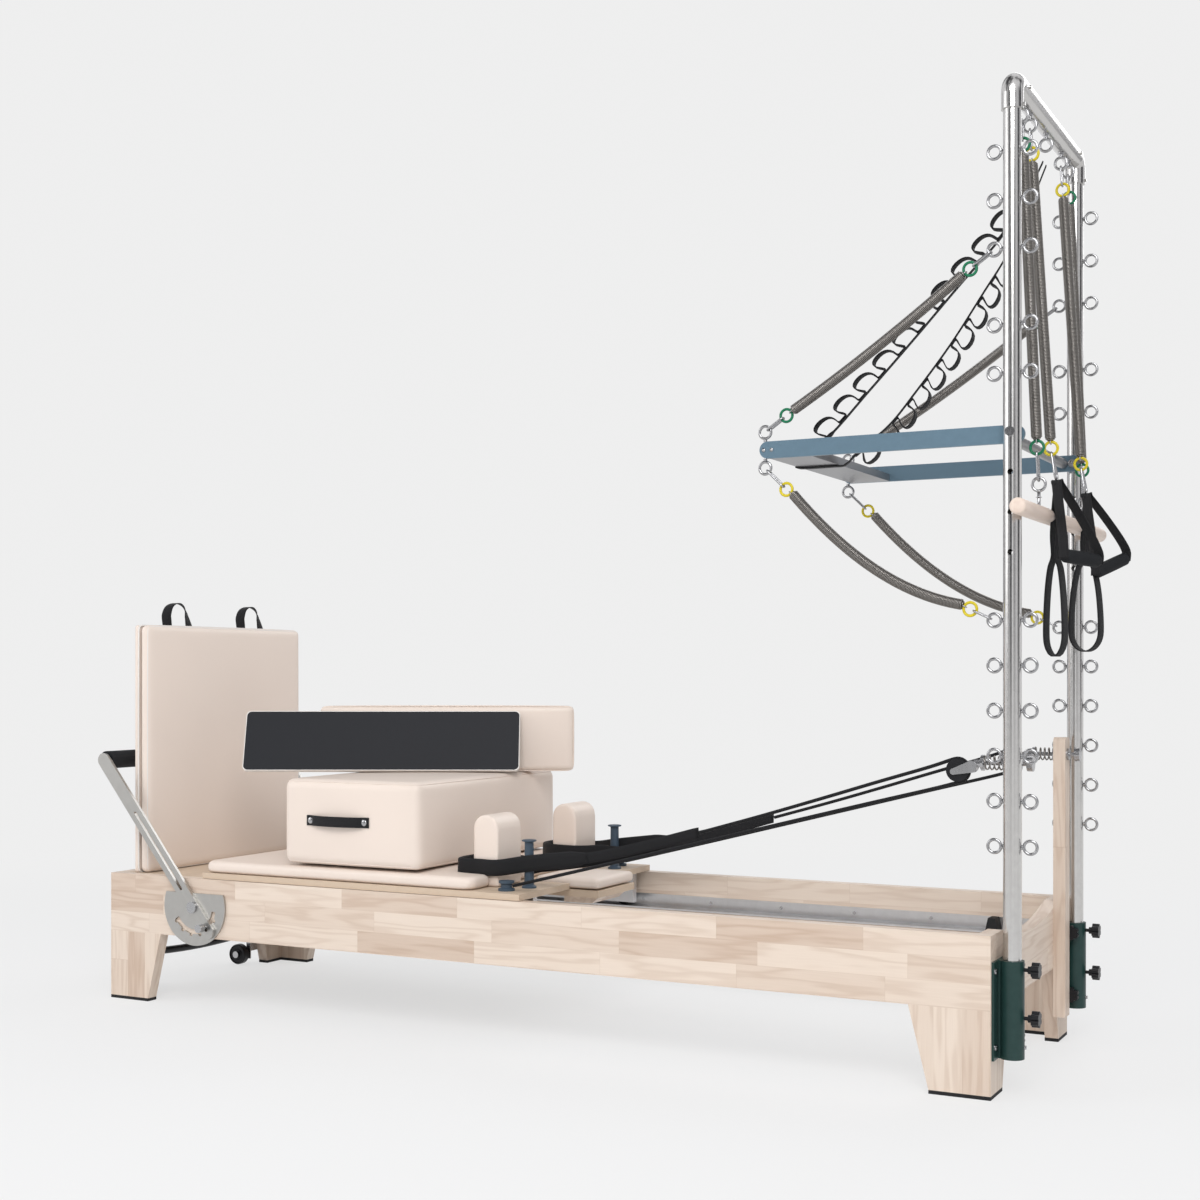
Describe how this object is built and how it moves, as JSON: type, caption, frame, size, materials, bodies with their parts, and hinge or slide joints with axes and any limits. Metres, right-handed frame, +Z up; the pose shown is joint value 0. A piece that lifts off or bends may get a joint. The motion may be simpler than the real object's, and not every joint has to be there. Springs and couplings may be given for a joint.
{
  "type": "pilates tower unit",
  "caption": "Pilates reformer with a half tower: sprung carriage on tracks, footbar, ropes, push-through bar, roll-down bar, arm springs, jump board, sitting box and loose boards",
  "frame": {"origin": "on the floor, at the middle of the object's length and width", "axes": "+X runs along the frame towards the tower, +Y across it away from the camera's side, +Z up"},
  "size_m": [2.6399, 0.826, 2.1276],
  "materials": {
    "birch": "clear satin lacquer",
    "plywood": "clear satin lacquer, edges bare",
    "pad_rubber": "matte black",
    "zinc_steel": "zinc plated",
    "satin_steel": "satin",
    "spring_steel": "oiled spring steel",
    "green_paint": "dark green powder coat",
    "blue_paint": "blue-grey powder coat on a light alloy bar",
    "runner_alloy": "mill finish",
    "slate_plastic": "fine matte",
    "black_plastic": "satin black",
    "black_tube": "black powder coat",
    "black_foam": "closed-cell foam",
    "black_webbing": "woven polyamide webbing",
    "cream_vinyl": null,
    "black_laminate": "black non-slip laminate on plywood"
  },
  "bodies": {
    "frame": {"side_rails": "birch", "end_panels": "birch", "legs": "birch", "foot_pads": "pad_rubber", "foot_platform": "plywood", "carriage_tracks": "zinc_steel", "track_screws": "zinc_steel", "carriage_stops": "pad_rubber", "spring_bar": "zinc_steel", "wheel_brackets": "zinc_steel", "stretcher_tube": "black_tube", "footbar_plates": "zinc_steel", "footbar_pivots": "zinc_steel", "tower_uprights": "satin_steel", "tower_crossbar": "satin_steel", "tower_eyebolts": "zinc_steel", "tower_brackets": "green_paint", "bracket_bolts": "zinc_steel", "bracket_knobs": "black_plastic", "pulley_posts": "birch", "pulley_rods": "zinc_steel", "pulley_springs": "zinc_steel", "push_pivot_bolts": "zinc_steel", "push_spring_hooks": "zinc_steel", "push_springs": "spring_steel", "ladder_strap": "black_webbing", "ropes": "black_webbing"},
    "transport_wheel_near": {"transport_wheel_near": "black_plastic"},
    "transport_wheel_far": {"transport_wheel_far": "black_plastic"},
    "footbar": {"footbar_arms": "satin_steel", "footbar_grip": "black_foam"},
    "footbar_lock": {"footbar_lock_pin": "zinc_steel"},
    "push_bar": {"push_frame": "blue_paint", "push_frame_eyes": "zinc_steel"},
    "carriage": {"carriage_deck": "plywood", "carriage_mattress": "cream_vinyl", "carriage_runners": "runner_alloy", "shoulder_rests": "cream_vinyl", "deck_fittings": "slate_plastic", "carriage_springs": "zinc_steel", "strap_loops": "black_webbing"},
    "carriage_wheels_head": {"carriage_wheels_head": "black_plastic"},
    "carriage_wheels_foot": {"carriage_wheels_foot": "black_plastic"},
    "headrest": {"headrest_board": "plywood", "headrest_pad": "cream_vinyl"},
    "headrest_prop": {"headrest_prop": "birch"},
    "sitting_box": {"sitting_box": "cream_vinyl", "box_handles": "black_webbing"},
    "standing_board": {"standing_board": "black_laminate"},
    "back_cushion": {"back_cushion": "cream_vinyl"},
    "jump_board": {"jump_board": "cream_vinyl", "jump_loops": "black_webbing"},
    "roll_down": {"roll_down_bar": "birch", "roll_down_springs": "spring_steel"},
    "arm_near": {"arm_spring_near": "spring_steel", "hand_strap_near": "black_webbing"},
    "arm_far": {"arm_spring_far": "spring_steel", "hand_strap_far": "black_webbing"},
    "pulley_near": {"pulley_wheel_near": "black_plastic"},
    "pulley_far": {"pulley_wheel_far": "black_plastic"}
  },
  "joints": [
    {"name": "transport_wheel_near_spin", "type": "hinge", "parent": "frame", "child": "transport_wheel_near", "pos_m": [-1.2899, -0.208, 0.031], "axis": [0, 1, 0], "continuous": true},
    {"name": "transport_wheel_far_spin", "type": "hinge", "parent": "frame", "child": "transport_wheel_far", "pos_m": [-1.2899, 0.208, 0.031], "axis": [0, 1, 0], "continuous": true},
    {"name": "footbar_tilt", "type": "hinge", "parent": "frame", "child": "footbar", "pos_m": [-0.9639, 0, 0.264], "axis": [0, -1, 0], "range_deg": [-5.5, 24]},
    {"name": "footbar_lock_slide", "type": "slide", "parent": "footbar", "child": "footbar_lock", "axis": [0.6347, 0, -0.7727], "range_m": [0, 0.008], "stiffness_N_per_m": 200, "springref_m": -0.006},
    {"name": "push_bar_swing", "type": "hinge", "parent": "frame", "child": "push_bar", "pos_m": [1.1711, 0, 1.377], "axis": [0, 1, 0], "range_deg": [-35, 30], "stiffness_Nm_per_rad": 60, "springref_deg": 14.32, "deforming": ["push_springs", "ladder_strap"]},
    {"name": "carriage_slide", "type": "slide", "parent": "frame", "child": "carriage", "axis": [1, 0, 0], "range_m": [0, 0.978], "deforming": ["ropes", "strap_loops"]},
    {"name": "carriage_wheels_head_spin", "type": "hinge", "parent": "carriage", "child": "carriage_wheels_head", "pos_m": [-0.0399, 0, 0.2723], "axis": [0, 1, 0], "range_deg": [-10, 2600]},
    {"name": "carriage_wheels_foot_spin", "type": "hinge", "parent": "carriage", "child": "carriage_wheels_foot", "pos_m": [-0.8399, 0, 0.2723], "axis": [0, 1, 0], "range_deg": [-10, 2600]},
    {"name": "headrest_tilt", "type": "hinge", "parent": "carriage", "child": "headrest", "pos_m": [-0.0929, 0, 0.344], "axis": [0, -1, 0], "range_deg": [0, 35]},
    {"name": "headrest_prop_swing", "type": "hinge", "parent": "headrest", "child": "headrest_prop", "pos_m": [-0.0149, 0, 0.3207], "axis": [0, 1, 0], "range_deg": [0, 55]},
    {"name": "sitting_box_lift", "type": "slide", "parent": "carriage", "child": "sitting_box", "axis": [0, 0, 1], "range_m": [0, 0.3]},
    {"name": "standing_board_lift", "type": "slide", "parent": "sitting_box", "child": "standing_board", "axis": [0, 0, 1], "range_m": [0, 0.3]},
    {"name": "back_cushion_lift", "type": "slide", "parent": "sitting_box", "child": "back_cushion", "axis": [0, 0, 1], "range_m": [0, 0.3]},
    {"name": "jump_board_lift", "type": "slide", "parent": "frame", "child": "jump_board", "axis": [0, 0, 1], "range_m": [0, 0.15]},
    {"name": "roll_down_swing", "type": "hinge", "parent": "frame", "child": "roll_down", "pos_m": [1.1711, 0, 2.05665], "axis": [0, -1, 0], "range_deg": [0, 40]},
    {"name": "arm_near_swing", "type": "hinge", "parent": "frame", "child": "arm_near", "pos_m": [1.1711, 0, 2.05665], "axis": [0, -1, 0], "range_deg": [0, 40]},
    {"name": "arm_far_swing", "type": "hinge", "parent": "frame", "child": "arm_far", "pos_m": [1.1711, 0, 2.05665], "axis": [0, -1, 0], "range_deg": [0, 40]},
    {"name": "pulley_near_spin", "type": "hinge", "parent": "frame", "child": "pulley_near", "pos_m": [1.0366, -0.233, 0.67], "axis": [0, 1, 0], "continuous": true},
    {"name": "pulley_far_spin", "type": "hinge", "parent": "frame", "child": "pulley_far", "pos_m": [1.0366, 0.233, 0.67], "axis": [0, 1, 0], "continuous": true}
  ],
  "couplings": [
    {"joint": "carriage_wheels_head_spin", "follows": "carriage_slide", "rad_per_m": 45.455},
    {"joint": "carriage_wheels_foot_spin", "follows": "carriage_slide", "rad_per_m": 45.455}
  ]
}
